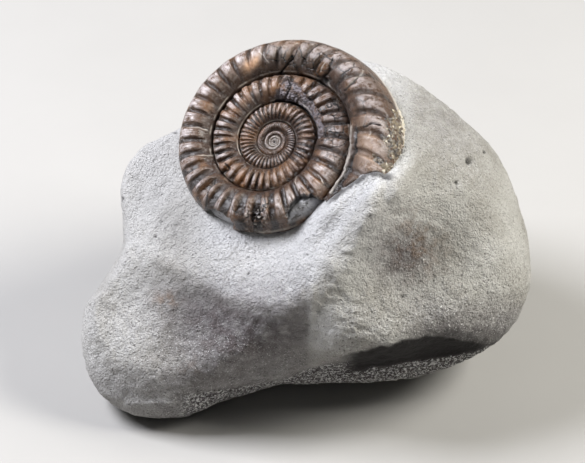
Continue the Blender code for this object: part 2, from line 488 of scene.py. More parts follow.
# Lias limestone is a lime mud turned to stone: matt and pale grey, with grains and pits, whose glints and
# dark are painted highlights and painted shade. A steel pen has pecked it back round the shell, which leaves
# the fresh stone whiter and covered in small facets.
@dataclass(frozen=True)
class LimestoneFinish:
    """The stone: weathered skin, pecked zone, rusty stains, grit, painted glints, a painted green tint of
    light and painted shade, also under the undercut.
    """

    pecked: str = "#c4c3c2"
    skin: str = "#b9b7b3"
    drift: str = "#a19e98"
    damp: str = "#595355"
    hollow: str = "#1f1c1b"
    rust: str = "#77614c"
    moss: str = "#eeeedc"
    pit: str = "#3a3632"
    glint: str = "#e4e3df"
    # The real grains are a tenth of a millimetre, and are drawn as coarse as they need to show.
    fine: Grain = Grain(0.36, 2.0, 0.6)
    sand: Grain = Grain(0.62, 3.0, 0.65)
    mottle: Grain = Grain(2.6, 4.0, 0.6)
    wide: Grain = Grain(14.0)
    peck_mm: float = 0.75
    least_pecked: float = 0.5  # how much of the facets the weathered skin keeps
    relief_mm: tuple[float, ...] = (0.5, 0.66, 0.42, 0.20)  # of mottle, sand, fine grain and facets
    roughness: float = 0.86
    specular: float = 0.3

    def make(self) -> bpy.types.Material:
        """Returns: the material."""
        material, tree = new_tree("pecked_limestone")
        grains = {"fine": self.fine, "sand": self.sand, "mottle": self.mottle, "wide": self.wide}
        p = Patterns.on(tree, grains, "pecked damp rust moss hollow coarse")
        layers = (
            Layer(self.drift, (p.mask("wide", 0.38, 0.68),)),
            Layer(self.pecked, (p.mask("pecked"),)),
            # Painted shade, patchy.
            Layer(self.damp, (p.mask("damp"), p.mask("mottle", 0.0, 0.62))),
            Layer(self.rust, (p.mask("rust"), p.mask("mottle", 0.4, 0.66))),
            # A painted green tint of light over the centre and right face.
            Layer(self.moss, (p.mask("moss"),), 0.6, Blend.MULTIPLY),
            # Painted shade in the recess, under the lip's broken edge, on the underside and in the pits.
            Layer(self.hollow, (p.mask("hollow"),), 0.98),
            # Dark pits and bright grains: the grit's own speckle, strengthened where the stone is coarse into
            # painted shade in the pits and painted glints of the raking light.
            Layer(self.pit, (p.mask("sand", 0.45, 0.32), p.mask("coarse"))),
            Layer(self.pit, (p.mask("fine", 0.42, 0.28),), 0.35),
            Layer(self.glint, (p.mask("fine", 0.57, 0.72), p.mask("coarse"))),
            Layer(self.glint, (p.mask("sand", 0.50, 0.60), p.mask("coarse", 0.72, 0.95)), 0.75),
        )
        facet = {"Scale": 1.0 / (self.peck_mm * MM)}
        facets = add_node(tree, "TexVoronoi", facet, Vector=p.place).outputs["Distance"]
        larger = {"operation": "MAXIMUM"}
        where = add_node(tree, "Math", larger, i0=p["pecked"], i1=p["coarse"]).outputs[0]
        where = add_node(tree, "Math", {**larger, 1: self.least_pecked}, i0=where).outputs[0]
        reliefs = (p["mottle"], p["sand"], p["fine"], masked(tree, (Mask(facets), Mask(where))))
        settings = {"Roughness": self.roughness, "Specular IOR Level": self.specular}
        colour = layered(tree, self.skin, layers)
        normal = embossed(tree, *zip(reliefs, self.relief_mm))
        shader = add_node(tree, "BsdfPrincipled", settings, Base_Color=colour, Normal=normal)
        add_node(tree, "OutputMaterial", Surface=shader.outputs[0])
        return material


# The shell's aragonite has turned to brown calcite, and it was brushed and waxed when it was cleaned: glossy
# over the crests and matt and lilac grey where it is broken. Its paler crests are painted highlights, and the
# darker furrows and inner halves of the whorls are partly painted shade.
@dataclass(frozen=True)
class ShellFinish:
    """The shell: its ribs' two browns with painted highlights and painted shade, growth lines, warm and grey
    patches, cracks and the mud inside.
    """

    crest: str = "#604938"
    gleam: str = "#d0c6c4"
    furrow: str = "#1b110b"
    inner: str = "#33241d"
    orange: str = "#86603f"
    golden: str = "#c29a78"
    grey: str = "#6e645b"
    tan: str = "#b2957c"
    pale: str = "#d9d0c4"
    lilac: str = "#857d80"
    mud: str = "#b4b4b7"
    mud_dark: str = "#5b5754"
    mud_grain: str = "#8a8783"
    black: str = "#14100d"
    fine: Grain = Grain(0.35)
    mottle: Grain = Grain(1.3, 4.0, 0.6)
    wide: Grain = Grain(6.0)
    push: Grain = Grain(2.2, 3.0, 0.5)
    push_mm: float = 1.8
    crazing_mm: float = 3.4
    # Growth lines are 0.3 mm apart along the coil and some 3 mm long across it.
    lines_per_mm: tuple[float, float, float] = (3.4, 0.28, 1.0)
    relief_mm: tuple[float, ...] = (0.22, 0.36, 0.10, 0.25)  # of the mottle, growth lines, fine grain, cracks
    gloss: float = 0.17  # the roughness of the crests
    dull: float = 0.4  # how much rougher broken shell and mud are
    cloudy: float = 0.24  # how much rougher the mottle makes it
    index: float = 1.60
    coat: float = 0.2
    coat_roughness: float = 0.24

    def make(self) -> bpy.types.Material:
        """Returns: the material."""
        material, tree = new_tree("brown_calcite_shell")
        names = "ridge across along outward mud broken crazed crack pale warm grey golden tan"
        p = Patterns.on(tree, {"fine": self.fine, "mottle": self.mottle, "wide": self.wide}, names)
        streak = self.growth_lines(p)
        web = masked(tree, (Mask(self.crazing(p), 0.05, 0.012), p.mask("crazed")))
        # Painted highlights: on the crests, over the middle and outer part of each flank.
        painted_highlight_band = (p.mask("across", 0.34, 0.66), p.mask("across", 0.98, 0.74), p.mask("ridge", 0.5, 0.95))
        layers = (
            # The crests' brown over the darker furrows: partly the ribs' own two browns, partly painted shade
            # in the furrows.
            Layer(self.crest, (p.mask("ridge", -0.1, 0.75),)),
            # Painted shade over the inner half of each whorl.
            Layer(self.inner, (p.mask("across", 0.6, 0.05),), 0.85),
            Layer(self.gleam, (*painted_highlight_band, p.mask("mottle", 0.34, 0.60), Mask(streak, 0.36, 0.60))),
            Layer(self.orange, (p.mask("wide", 0.52, 0.70),), 0.5),
            Layer(self.orange, (p.mask("warm"),)),
            Layer(self.grey, (p.mask("grey"),)),
            Layer(self.golden, (p.mask("golden"),)),
            Layer(self.tan, (p.mask("tan"),)),
            Layer(self.crest, (Mask(streak, 0.5, 0.75),), 0.45),
            Layer(self.black, (Mask(streak, 0.44, 0.27),), 0.45),
            Layer(self.black, (p.mask("mottle", 0.4, 0.22),), 0.5),
            Layer(self.lilac, (p.mask("broken"), p.mask("mottle", 0.36, 0.56))),
            Layer(self.mud, (p.mask("mud"),)),
            Layer(self.mud_dark, (p.mask("mud"), p.mask("mottle", 0.46, 0.34))),
            Layer(self.mud_grain, (p.mask("mud"), p.mask("fine", 0.56, 0.76))),
            Layer(self.black, (Mask(web),)),
            Layer(self.pale, (p.mask("pale"),)),
            Layer(self.black, (p.mask("crack"),)),
        )
        matt = add_node(tree, "Math", {"operation": "MAXIMUM"}, i0=p["mud"], i1=p["broken"]).outputs[0]
        sum_of = {"operation": "MULTIPLY_ADD"}
        rough = add_node(tree, "Math", {**sum_of, 1: self.dull, 2: self.gloss}, i0=matt).outputs[0]
        rough = add_node(tree, "Math", {**sum_of, 1: self.cloudy}, i0=p["mottle"], i2=rough).outputs[0]
        cracked = add_node(tree, "Math", {"operation": "SUBTRACT"}, i0=p["mottle"], i1=web).outputs[0]
        settings = {"IOR": self.index, "Coat Weight": self.coat, "Coat Roughness": self.coat_roughness}
        colour = layered(tree, self.furrow, layers)
        normal = embossed(tree, *zip((p["mottle"], streak, p["fine"], cracked), self.relief_mm))
        shader = add_node(
            tree, "BsdfPrincipled", settings, Base_Color=colour, Roughness=rough, Normal=normal
        )
        add_node(tree, "OutputMaterial", Surface=shader.outputs[0])
        return material

    def crazing(self, p: Patterns) -> Socket:
        """Fine cracks: the edges of cells pushed about, so that none runs straight.

        Args:
            p: the shell's patterns.

        Returns:
            The distance to the nearest crack.
        """
        push = add_node(p.tree, "TexNoise", self.push.settings(), Vector=p.place).outputs["Color"]
        settings = {"operation": "MULTIPLY_ADD", 1: (self.push_mm * MM,) * 3}
        pushed = add_node(p.tree, "VectorMath", settings, i0=push, i2=p.place).outputs[0]
        settings = {"feature": "DISTANCE_TO_EDGE", "Scale": 1.0 / (self.crazing_mm * MM)}
        return add_node(p.tree, "TexVoronoi", settings, Vector=pushed).outputs["Distance"]

    def growth_lines(self, p: Patterns) -> Socket:
        """Growth lines: noise on the shell's own coordinates in mm, drawn out across the coil.

        Args:
            p: the shell's patterns.

        Returns:
            The noise's value.
        """
        along = add_node(p.tree, "CombineXYZ", i0=p["along"], i1=p["outward"])
        stretched = add_node(p.tree, "Mapping", {"Scale": self.lines_per_mm}, Vector=along.outputs[0])
        settings = {"Scale": 1.0, "Detail": 4.0, "Roughness": 0.6}
        return add_node(p.tree, "TexNoise", settings, Vector=stretched.outputs[0]).outputs["Fac"]


# Calcite spar grew in the shell's empty chambers: small honey-coloured crystals, a little see-through, whose
# faces glint here and there, drawn as a painted glint on a tenth of them, and are brown where they meet.
@dataclass(frozen=True)
class SparFinish:
    """The crystals: olive to honey, a few of them pale with a painted glint, a pale rim, brown between."""

    honey: str = "#6f6454"
    olive: str = "#47413a"
    amber: str = "#85765a"
    clear: str = "#d6cebc"
    brown: str = "#2c241e"
    fine: Grain = Grain(0.5)
    mottle: Grain = Grain(2.0)
    index: float = 1.60
    depth_mm: tuple[float, float, float] = (1.2, 0.9, 0.5)  # how far red, green and blue light goes in
    see_through: float = 0.25
    roughest: float = 0.75
    relief_mm: float = 0.25

    def make(self) -> bpy.types.Material:
        """Returns: the material."""
        material, tree = new_tree("honey_calcite_spar")
        p = Patterns.on(tree, {"fine": self.fine, "mottle": self.mottle}, "crystal")
        layers = (
            Layer(self.honey, (p.mask("crystal", 0.2, 0.7),)),
            Layer(self.clear, (p.mask("crystal", 0.90, 0.99),)),
            Layer(self.amber, (p.mask("mottle", 0.5, 0.66),), 0.45),
            Layer(self.brown, (p.mask("mottle", 0.47, 0.36),), 0.85),
        )
        settings = {
            "IOR": self.index,
            "Subsurface Weight": self.see_through,
            "Subsurface Radius": tuple(mm * MM for mm in self.depth_mm),
            "Subsurface Scale": 1.0,
        }
        colour = layered(tree, self.olive, layers)
        rough = masked(tree, (p.mask("fine"),), self.roughest)
        normal = embossed(tree, (p["fine"], self.relief_mm))
        shader = add_node(
            tree, "BsdfPrincipled", settings, Base_Color=colour, Roughness=rough, Normal=normal
        )
        add_node(tree, "OutputMaterial", Surface=shader.outputs[0])
        return material


# Uncoated paper is pressed wood fibre: matt, pale and even, with the faintest cloudiness.
@dataclass(frozen=True)
class PaperFinish:
    """The table top under the stone."""

    sheet: str = "#a5a39f"
    cloud: str = "#a09e9a"
    clouds: Grain = Grain(30.0)
    roughness: float = 0.9

    def make(self) -> bpy.types.Material:
        """Returns: the material."""
        material, tree = new_tree("pale_paper")
        p = Patterns.on(tree, {"clouds": self.clouds})
        colour = layered(tree, self.sheet, (Layer(self.cloud, (p.mask("clouds"),)),))
        shader = add_node(tree, "BsdfPrincipled", {"Roughness": self.roughness}, Base_Color=colour)
        add_node(tree, "OutputMaterial", Surface=shader.outputs[0])
        return material


# ---- The show face ----


@dataclass
class ShowFace:
    """The tilted frame that the stone is described in."""

    tilt: float = math.radians(40.0)
    over_floor: float = 30.0
    behind_front: float = 31.09  # from the nodule's foremost point back to the middle of the face
    middle: Vector = field(init=False)

    def __post_init__(self) -> None:
        """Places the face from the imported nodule's box."""
        low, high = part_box("limestone_nodule")
        back, up = self.behind_front * MM, self.over_floor * MM
        self.middle = Vector(((low.x + high.x) / 2, low.y + back, low.z + up))

    def axes(self) -> Matrix:
        """The face's x, u and v axes and its middle, in metres."""
        return Matrix.Translation(self.middle) @ Matrix.Rotation(math.pi / 2 - self.tilt, 4, "X")

    def place(self) -> Matrix:
        """From mm on the show face to metres in the row frame."""
        return self.axes() @ Matrix.Scale(MM, 4)


# ---- The shell ----


class Side(IntEnum):
    """Which part of a whorl's section a point is on."""

    FLANK = 0
    VENTER = 1
    UNDER = 2


@dataclass(frozen=True)
class Coil:
    """The ammonite's form: a spiral of whorls, each of which takes its inner edge from the one before."""

    middle: tuple[float, float, float] = (-6.9, 23.6, 13.0)  # x, u and v on the show face
    lean: float = math.radians(28.8)
    first_radius: float = 3.12
    growth: float = 1.80
    # The natural logarithm of how far the spiral is off, by turn.
    uneven: Knots = (
        (-5.5, 0.0), (-1.0, 0.0), (1.0, -0.05), (1.25, 0.01), (2.0, 0.0), (2.2, 0.03), (2.5, 0.0),
        (2.78, -0.065), (3.05, 0.04), (3.25, -0.03), (3.42, -0.10), (3.62, -0.20), (3.75, -0.235),
        (3.87, -0.20), (4.0, -0.12), (4.15, -0.10),
    )
    # On the show face: where the stone laps over the shell's mouth, and the turn from which it does.
    lap: Knots = (
        (-2, 6.3), (0, 7.3), (4.2, 10.9), (8.8, 14.3), (12.5, 16.7), (14.7, 17.4), (18.3, 16.3),
        (21.6, 16.9), (24, 18),
    )
    lap_turn: float = 3.9
    seam_slope: float = 0.136  # a seam's height over the mid-plane, over its radius
    flank_bulge: float = 0.165  # over the outer seam's radius, as the two bulges below
    flank_power: float = 1.12  # over 1, the flank is highest nearer its inner seam
    # Between these turns the flank loses this share of its bulge, and the stone laps over it.
    sinks: tuple[float, float] = (3.95, 4.12)
    sunk: float = 0.72
    venter_bulge: float = 0.028
    venter_reach: float = 1.1  # how far the venter goes past the mid-plane, over the seam's height
    under_bulge: float = 0.12
    # Ribs in a full turn, and how high they stand over the whorl's radius, from the inner turns outwards.
    rib_counts: Knots = (
        (-5.0, 40), (-3.0, 40), (-0.5, 60), (0.5, 55), (1.5, 42), (2.4, 35), (4.2, 33.5),
    )
    rib_heights: Knots = (
        (-3, 0), (-0.7, 0), (-0.2, 0.024), (0.5, 0.056), (1.5, 0.062), (2.5, 0.057), (3.3, 0.053),
        (4.2, 0.050),
    )
    # How far the crests outdo the furrows in width: 0 is even, 0.6 leaves narrow furrows, -0.4 narrow crests.
    rib_widths: Knots = (
        (-5.0, 0.0), (1.5, 0.0), (2.4, 0.05), (2.75, 0.35), (3.1, 0.45), (3.2, 0.25), (3.28, -0.3),
        (3.42, -0.25), (3.5, 0.45), (3.7, 0.65), (4.1, 0.7),
    )

    def radius(self, turn: Array) -> Array:
        """Radius of the outer seam: a logarithmic spiral times its unevenness."""
        return self.first_radius * self.growth**turn * np.exp(smooth_through(self.uneven, turn))

    def flank_z(self, turn: Array, r: Array, angle: Array) -> Array:
        """Height on the flank: the line between the seams, plus the bulge times sin(angle)^k.

        k falls from 1.4 at the inner seam, where the flank rises gently, to 1 at the steeper outer one.
        """
        bulge = self.radius(turn) * self.flank_bulge * (1.0 - self.sunk * ease(turn, *self.sinks))
        return self.seam_slope * r + bulge * np.maximum(np.sin(angle), 0.0) ** (1.2 + 0.2 * np.cos(angle))

    def leaned(self) -> Matrix:
        """The coil's lean on the show face, about the line through its lower left and upper right."""
        return Matrix.Rotation(-self.lean, 4, Vector((1.0, 1.0, 0.0)).normalized())

    def plane(self, x: Array, u: Array) -> Array:
        """Height over the show face of the coil's mid-plane."""
        rise = math.tan(self.lean) * math.sqrt(0.5)
        return self.middle[2] + rise * ((x - self.middle[0]) - (u - self.middle[1]))

    def flank_on_face(self, x: Array, u: Array) -> Array:
        """Height over the show face of the last turn's flank, found by eight corrections from its mid-plane.

        Args:
            x, u: places on the show face in mm.

        Returns:
            v in mm.
        """
        lean = np.array(self.leaned().to_3x3())
        first = self.lap_turn - 0.3
        v = self.plane(x, u)
        for _ in range(8):
            q = (np.stack([x, u, v], axis=-1) - np.array(self.middle)) @ lean
            turn = first + np.mod(-np.arctan2(q[..., 1], q[..., 0]) / (2.0 * np.pi) - first, 1.0)
            r = np.hypot(q[..., 0], q[..., 1])
            outer, inner = self.radius(turn), self.radius(turn - 1.0)
            share = np.clip((r - inner) / (outer - inner), 0.05, 0.97)
            z = self.flank_z(turn, r, np.arccos(1.0 - 2.0 * share ** (1.0 / self.flank_power)))
            v = v + 0.8 * (z - q[..., 2]) / math.cos(self.lean)
        return v

    def place(self, face: ShowFace) -> Matrix:
        """From mm in the coil's frame to metres in the row frame."""
        return face.place() @ Matrix.Translation(Vector(self.middle)) @ self.leaned()

    def on_face(self, points: Array) -> tuple[Array, Array]:
        """Where points of the coil's frame are on the show face, as x and u."""
        moved = points @ np.array(self.leaned().to_3x3()).T
        return moved[..., 0] + self.middle[0], moved[..., 1] + self.middle[1]

    def rib_phase(self, turn: Array) -> Array:
        """How many ribs have passed: the running sum of the ribs in a turn, unevenly spaced.

        Args:
            turn: turns of the coil.

        Returns:
            Whole numbers on the crests.
        """
        steps = np.linspace(-5.0, 4.3, 3000)
        passed = np.cumsum(smooth_through(self.rib_counts, steps)) * (steps[1] - steps[0])
        spot = turn[..., None] * np.array([9.0, 0.0, 0.0])
        return np.interp(turn, steps, passed) + 0.30 * noise(spot, 1.0, 11)


@dataclass(frozen=True)
class Whorl:
    """One stretch of the coil as a closed tube, with its ribs, its seams and its damage."""

    name: str
    start: float
    end: float
    rows: int
    flank_points: int
    venter_points: int
    coil: Coil
    face: ShowFace
    under_points: int = 7
    dive: float = 12.0  # how far the tube goes down into the stone where the lip laps over it

    def section(self) -> tuple[Array, Array, Array]:
        """The grid's turn, its place across the section and its side.

        Returns:
            turn; across, from 0 to 1 on the flank and to 2 on the venter, and from 0 to 1 back underneath;
            and the side. All three have the shape (rows, columns).
        """
        flank = np.linspace(0.0, 1.0, self.flank_points)
        venter = np.linspace(1.0, 2.0, self.venter_points + 1)[1:]
        under = np.linspace(0.0, 1.0, self.under_points + 2)[1:-1]
        side = np.repeat(list(Side), [len(flank), len(venter), len(under)])
        rows = np.linspace(self.start, self.end, self.rows)
        turn, across = np.meshgrid(rows, np.concatenate([flank, venter, under]), indexing="ij")
        return turn, across, np.broadcast_to(side, turn.shape)

    def tube(self, turn: Array, across: Array, side: Array) -> tuple[Array, Array]:
        """Points of the smooth tube, and the flank's share from the inner seam (0) to the outer (1).

        On the flank, the share is ((1 - cos a) / 2)^power for the angle a, and the height is the line
        between the seams plus the coil's bulge. On the venter, the height falls evenly from the seam's
        to past its negative, and the radius swells by 1 - s^2, s being the height over the seam's. An arc
        returns underneath.

        Args:
            turn, across, side: the grid, as section() gives it.

        Returns:
            points, shape (rows, columns, 3), and the share, shape (rows, columns), which goes on to 2 on
            the venter.
        """
        c = self.coil
        outer, inner = c.radius(turn), c.radius(turn - 1.0)
        seam = c.seam_slope * outer
        angle = np.pi * np.clip(across, 0.0, 1.0)
        share = ((1.0 - np.cos(angle)) / 2.0) ** c.flank_power
        flank_r = inner + (outer - inner) * share
        drop = np.clip(across - 1.0, 0.0, 1.0)
        s = 1.0 - (1.0 + c.venter_reach) * drop
        venter_r = outer * (1.0 + c.venter_bulge * (1.0 - s * s))
        under_r = outer * (1.0 + c.venter_bulge * (1.0 - c.venter_reach**2)) + (inner - outer) * across
        lowest = -c.venter_reach * seam
        under_z = lowest + (c.seam_slope * inner - lowest) * across**2
        under_z = under_z - c.under_bulge * outer * np.sin(np.pi * across)
        sides = [side == Side.FLANK, side == Side.VENTER, side == Side.UNDER]
        r = np.select(sides, [flank_r, venter_r, under_r])
        z = np.select(sides, [c.flank_z(turn, flank_r, angle), seam * s, under_z])
        theta = -2.0 * np.pi * turn
        points = np.stack([r * np.cos(theta), r * np.sin(theta), z], axis=-1)
        return points, np.select(sides, [share, 1.0 + drop, np.full_like(share, 2.0)])

    def ribs(self, turn: Array, share: Array, side: Array) -> tuple[Array, Array]:
        """Height of the ribs and their profile from 0 in a furrow to 1 on a crest.

        The profile is tanh of a cosine wave, shifted up so that crests are broad and furrows narrow. The
        ribs start past the inner seam, lean forward a little outwards and die out on the shoulder.

        Args:
            turn, share, side: the place on the coil.

        Returns:
            The height in mm, and the profile.
        """
        c = self.coil
        # Ribs swing forward on both sides of the flank's middle, and more so on the last half turn.
        bend = 0.30 * (share - 0.45) ** 2 * np.sign(share - 0.45) - 0.05 * share
        bend = bend + ease(turn, 3.62, 3.95) * 0.55 * (share - 0.2) ** 2
        spot = np.stack([turn * 26.0, share * 2.5, 0.0 * turn], axis=-1)
        wave = np.cos(2.0 * np.pi * (c.rib_phase(turn) - bend + 0.05 * noise(spot, 1.0, 22, 2)))
        # From turn 1.2 to 2.8 the ribs grow steeper and the smooth bands beside both seams wider.
        broad = np.clip((turn - 1.2) / 1.6, 0.0, 1.0)
        steep = 1.5 + 0.9 * broad
        ridge = 0.5 + 0.5 * np.tanh(steep * (wave + smooth_through(c.rib_widths, turn))) / np.tanh(2.2)
        ridge = np.clip(ridge, 0.0, 1.0)
        strength = 1.0 + 0.45 * noise(spot, 1.0, 23)
        outermost = ease(turn, 2.95, 3.1)
        shoulder = ease(share, 0.84 - 0.18 * outermost, 1.0 - 0.02 * outermost) * (0.75 + 0.25 * broad)
        reach = ease(share, 0.02 + 0.04 * broad, 0.26 + 0.16 * broad) * (1.0 - shoulder)
        height = c.radius(turn) * smooth_through(c.rib_heights, turn) * reach * strength
        return height * (side != Side.UNDER) * (ridge - 0.5), ridge

    def build(self, damage: "Damage") -> bpy.types.Object:
        """The whorl as a piece.

        Args:
            damage: cracks, windows and broken places, which change both height and colour.

        Returns:
            The object, without a material.
        """
        c = self.coil
        turn, across, side = self.section()
        points, share = self.tube(turn, across, side)
        rise, ridge = self.ribs(turn, share, side)
        x, u = c.on_face(points)
        values = damage.values(x, u, turn, share, points)
        worn = 0.10 * noise(points, 2.6, 31, 3) * np.minimum(c.radius(turn) / 12.0, 1.0)
        worn += 0.14 * noise(points, 1.5, 33, 3) * values["mud"] + values.pop("lift")
        lift = rise * (1.0 - values["mud"]) * (1.0 - 0.8 * values["broken"]) + worn
        points = points + grid_normals(points) * (lift * (side != Side.UNDER))[..., None]
        past = (smooth_through(c.lap, x) - u) * (turn > c.lap_turn)
        points[..., 2] -= self.dive * ease(past, 0.3, 2.6)
        # A whorl's middle runs at 0.8 of its radius, and it is 0.44 of its radius wide.
        along, outward = 1.6 * np.pi * turn * c.radius(turn), 0.44 * share * c.radius(turn)
        values |= {"ridge": ridge, "across": share, "along": along, "outward": outward}
        return ring_body(self.name, points, values, c.place(self.face))


@dataclass(frozen=True)
class Damage:
    """Where the shell is cracked, broken open or crushed, on the show face in mm."""

    cracks: tuple[Knots, ...] = (
        ((-0.3, 45.7), (-2.2, 42.7), (-4.1, 40.4), (-6.0, 38.1)),
        ((5.8, 41.2), (4.6, 38.5), (3.5, 37.4)),
        ((12.0, 38.2), (10.3, 36.2), (8.6, 34.4)),
        ((12.8, 26.4), (14.1, 27.1), (15.8, 26.8)),
        ((4.2, 26.4), (5.8, 27.1), (9.2, 27.5)),
        ((4.4, 26.4), (4.2, 24.5)),
        ((-19.8, 15.4), (-20.8, 13.5), (-21.7, 10.1), (-22.1, 7.8)),
        ((-4.0, 37.8), (-3.6, 36.0), (-4.6, 33.6)),
        ((-1.6, 12.4), (-1.2, 11.0)),
        ((-17.4, 18.6), (-17.0, 17.6), (-18.4, 16.8)),
        ((11.0, 24.8), (10.8, 22.0), (9.6, 18.4), (7.4, 14.6), (5.2, 11.9)),
    )
    veins: tuple[Knots, ...] = (
        ((12.3, 38.8), (10.5, 36.7), (8.8, 34.8)),
        ((-10.1, 43.4), (-7.9, 41.0)),
        ((-5.6, 44.9), (-4.1, 44.2)),
        ((2.2, 16.5), (3.0, 15.8), (3.7, 14.6)),
        ((-2.2, 16.2), (-2.0, 14.0), (-1.6, 12.6)),
        ((13.5, 26.0), (13.5, 24.1)),
        ((-26.0, 27.1), (-23.5, 26.9), (-21.8, 26.2)),
        ((3.2, 38.8), (4.4, 40.6)),
        ((-25.3, 20.6), (-20.0, 20.8)),
    )
    # The raised pale edge of the shell's plate beside its mouth, and how far off the dark gap beside it runs.
    plate: Knots = ((10.1, 26.8), (9.9, 22.5), (9.6, 20.5), (8.6, 17.1), (6.6, 14.0), (5.2, 12.2))
    plate_gap: tuple[float, float] = (0.75, -0.25)
    large_window: Spot = Spot(-0.2, 8.2, 4.3, 3.3, 25.0)
    small_window: Spot = Spot(-19.2, 6.6, 3.6, 1.6, -28.0)
    window_depth: float = 0.9
    # The shell's broken edge throws this much of the upper left of each window into shade.
    window_shade: tuple[float, float] = (0.65, -0.75)
    # Painted shade in the upper left of each window.
    shade_in_windows: tuple[Spot, ...] = (
        Spot(-3.4, 10.4, 2.0, 2.6, 35.0, 0.8), Spot(-21.0, 8.2, 1.6, 1.0, 0.0, 0.7),
    )
    # How far the second whorl has lost its shell from its inner seam outwards, by turn.
    stripped_reach: Knots = (
        (2.74, -0.1), (2.79, 0.75), (2.86, 0.42), (2.95, 0.38), (3.02, 0.2), (3.06, -0.1),
    )
    # The outer whorl starts between these turns. Some damage is on it alone, and some stops short of it.
    outer_turns: tuple[float, float] = (3.0, 3.05)
    crushed: Spot = Spot(-11.2, 6.6, 3.2, 3.4, 0.0, 1.7)
    gap: Spot = Spot(4.0, 36.9, 0.9, 0.45, -35.0, 1.6)
    golden: tuple[Spot, ...] = (
        Spot(-12.4, 40.6, 0.95, 1.7, -28.0), Spot(-10.9, 41.4, 0.6, 1.5, -24.0, 0.8),
    )
    warm: tuple[Spot, ...] = (
        Spot(-6.8, 36.0, 2.2, 1.6, 0.0, 0.8), Spot(1.2, 27.4, 1.4, 1.2, 0.0, 0.6),
        Spot(-14.2, 15.2, 1.6, 1.2, -40.0, 0.7),
    )
    # A paler tan by the mouth: partly the shell's own colour, partly painted light.
    tan: Spot = Spot(13.4, 21.5, 2.6, 6.0, 8.0, 0.65)
    # A paler grey over the top of the last whorl: partly its own grey, partly painted light.
    grey: Spot = Spot(-3.0, 42.5, 7.5, 3.2, 0.0, 0.5)
    crazed: tuple[Spot, ...] = (
        Spot(-9.0, 8.0, 11.0, 4.5), Spot(5.0, 31.0, 8.0, 12.0, 25.0), Spot(0.0, 41.0, 12.0, 4.0, -15.0, 0.8),
    )

    def values(self, x: Array, u: Array, turn: Array, share: Array, points: Array) -> dict[str, Array]:
        """All the damage at each place.

        Args:
            x, u: the place on the show face in mm.
            turn, share: the place on the coil.
            points: the place in the coil's frame in mm, for noise.

        Returns:
            lift in mm, and from 0 to 1: crazed, mud, broken, crack (cracks and painted shade), pale, warm,
                grey, golden and tan.
        """
        jag = noise(points, 1.4, 41, 3)
        xr, ur = x + 0.35 * noise(points, 1.1, 42, 2), u + 0.35 * noise(points, 1.1, 47, 2)
        inside, outside, mouth = turn < self.outer_turns[1], turn > self.outer_turns[0], (turn > 3.7) * 1.0
        mud = self.windows(x, u, jag, turn, share)
        crushed = np.clip(self.crushed.on(x, u) + 0.5 * jag - 0.35, 0.0, 1.0) * outside
        broken = self.stripped(turn, share, jag)
        gap = self.gap.on(x, u)
        rubble, own = cells(points, 0.55, 51)

        # Dark lines: painted shadow along the windows' edges, painted shade in the seams' crevices, the
        # cracks and the gaps between crushed bits.
        shade_x, shade_u = self.window_shade
        shade = mud * (1.0 - self.windows(x - shade_x, u - shade_u, jag, turn, share))
        rim = 4.0 * np.clip(mud * (1.0 - mud), 0.0, 0.25) + mud * spots_on(x, u, self.shade_in_windows)
        rim = np.maximum(rim, 0.85 * shade)
        seam = peak(share, 0.014) + 0.6 * peak(share - 1.0, 0.010) * inside
        crack = sum(peak(line_distance(xr, ur, line), 0.17) for line in self.cracks)
        crack = np.clip(crack + gap + 0.32 * seam + rim + 0.45 * crushed * (own > 0.72), 0.0, 1.0)
        lift = -0.30 * crack - self.window_depth * mud - broken * (0.35 + 0.5 * rubble)
        lift -= crushed * (0.2 + 0.7 * own) + 0.5 * gap

        # Pale lines: veins, the film along both seams, and the rind where the shell meets the stone.
        pale = 0.7 * sum(peak(line_distance(xr, ur, line), 0.09) for line in self.veins)
        film = peak(share - 0.052, 0.010) * ease(noise(points, 2.2, 61, 2), -0.25, 0.3)
        film += peak(share - 0.968, 0.009) * ease(noise(points, 2.6, 62, 2), -0.1, 0.4) * inside
        rind = peak(share - 1.46, 0.07) * ease(noise(points, 3.0, 63, 2), -0.5, 0.2)
        rind = (rind + ease(share, 1.26, 1.38) * ease(x, 6.0, 10.0)) * (turn > 3.1)
        pale += 0.75 * film * (turn > 0.4) + 0.45 * crushed * (own < 0.08) + 0.8 * rind

        # The plate beside the mouth: its edge is pale and stands up, and the gap beside it is dark.
        beside = tuple((px + self.plate_gap[0], pu + self.plate_gap[1]) for px, pu in self.plate)
        plate = line_distance(xr, u, self.plate)
        pale = np.clip(np.clip(pale, 0.0, 0.9) + 0.8 * mouth * peak(plate, 0.16), 0.0, 0.9)
        crack = np.clip(crack + mouth * peak(line_distance(xr, u, beside), 0.24), 0.0, 1.0)
        lift += mouth * (0.45 * peak(plate, 0.5) - 0.3 * crack)

        warm = spots_on(x, u, self.warm)
        warm += 0.6 * ease(noise(points, 3.0, 66, 2), -0.1, 0.5) * inside * ease(share, 0.1, 0.5)
        crazed = np.clip(1.2 * spots_on(x, u, self.crazed), 0.0, 1.0)
        golden = np.clip(spots_on(x, u, self.golden), 0.0, 0.9)
        return {
            "lift": lift,
            "mud": mud,
            "broken": broken,
            "crack": crack,
            "pale": pale,
            "crazed": crazed * ease(noise(points, 4.0, 65, 2), -0.3, 0.2),
            "warm": np.clip(warm, 0.0, 0.85),
            "grey": np.maximum(1.0 - ease(turn, -0.9, -0.2), self.grey.on(x, u)),
            "golden": golden * (share < 1.2) * outside,
            "tan": self.tan.on(x, u) * mouth,
        }

